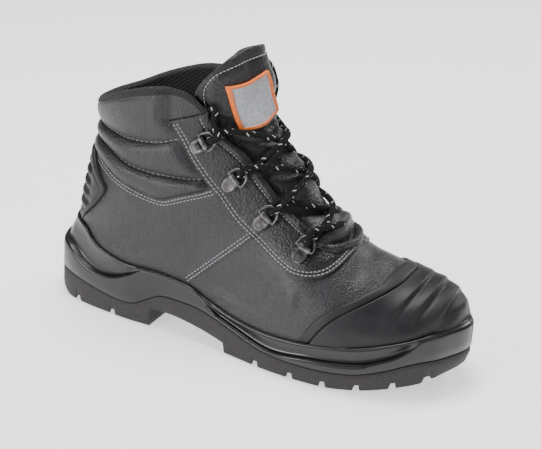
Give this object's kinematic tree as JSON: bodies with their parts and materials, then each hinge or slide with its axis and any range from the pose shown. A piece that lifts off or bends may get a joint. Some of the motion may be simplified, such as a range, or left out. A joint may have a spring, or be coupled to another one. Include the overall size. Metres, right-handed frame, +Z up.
{
  "type": "safety boot",
  "caption": "Lace-up ankle safety boot for the right foot, leather upper with padded collar, rubber toe cap and heel guard, cup sole with cleated tread.",
  "frame": {"origin": "on the floor, under the middle of the boot's bounding box", "axes": "+X to the toe, +Y to the inner (medial) side, +Z up"},
  "size_m": [0.31, 0.1105, 0.2069],
  "materials": {
    "leather": "dark charcoal full-grain leather, satin",
    "insole_foam": "black non-woven fabric over foam",
    "rubber": "moulded dark grey rubber, satin",
    "tread_rubber": "matt brown-grey tread rubber",
    "steel": "dark antique gunmetal plating",
    "lace": "round woven cord, black with pale flecks",
    "label": "soft moulded label, pale grey field, orange frame"
  },
  "bodies": {
    "root": {"outsole": "tread_rubber", "midsole": "rubber", "insole": "insole_foam", "upper": "leather", "toe_cap": "rubber", "heel_guard": "rubber", "facing": "leather", "tongue": "leather", "tongue_label": "label", "lace": "lace", "clip_lateral_1": "steel", "d_ring_lateral_1": "steel", "clip_lateral_2": "steel", "d_ring_lateral_2": "steel", "clip_lateral_3": "steel", "d_ring_lateral_3": "steel", "clip_lateral_4": "steel", "d_ring_lateral_4": "steel", "clip_medial_1": "steel", "d_ring_medial_1": "steel", "clip_medial_2": "steel", "d_ring_medial_2": "steel", "clip_medial_3": "steel", "d_ring_medial_3": "steel", "clip_medial_4": "steel", "d_ring_medial_4": "steel"}
  },
  "joints": []
}
